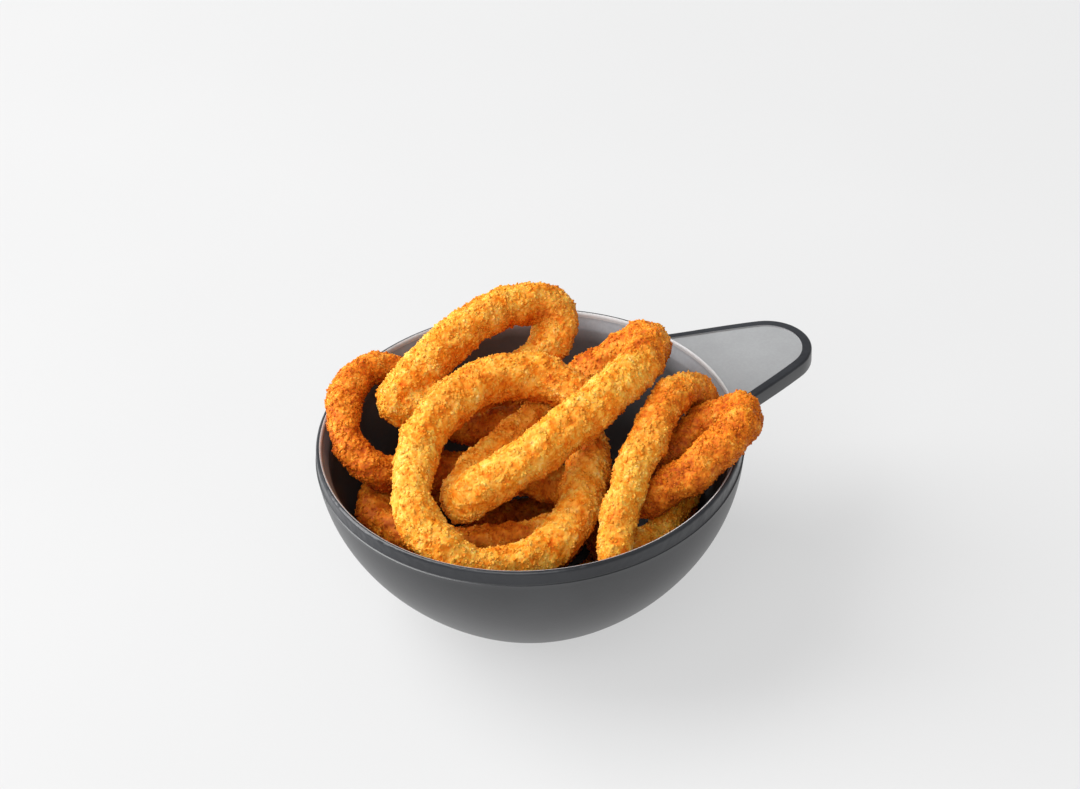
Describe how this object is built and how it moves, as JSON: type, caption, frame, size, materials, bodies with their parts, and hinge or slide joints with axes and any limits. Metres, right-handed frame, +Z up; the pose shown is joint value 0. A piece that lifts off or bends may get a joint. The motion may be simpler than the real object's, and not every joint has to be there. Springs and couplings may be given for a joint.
{
  "type": "bowl of onion rings",
  "caption": "Round-bottomed side bowl with a flat tab handle at its rim, heaped with large breaded onion rings.",
  "frame": {"origin": "centre of the bowl's flat base, on the surface it rests on", "axes": "+Z up, +X along the tab handle"},
  "size_m": [0.1629, 0.1296, 0.0861],
  "materials": {
    "dark_glaze": "satin dark grey glaze, lighter inside and on the handle's field",
    "crumb_crust": "rough fried breadcrumb"
  },
  "bodies": {
    "root": {"bowl": "dark_glaze", "ring_front": "crumb_crust", "ring_top": "crumb_crust", "ring_back": "crumb_crust", "ring_left": "crumb_crust", "ring_upright": "crumb_crust", "ring_right": "crumb_crust", "ring_low_left": "crumb_crust", "ring_low_right": "crumb_crust", "ring_low_back": "crumb_crust", "ring_deep": "crumb_crust", "ring_floor": "crumb_crust"}
  },
  "joints": []
}
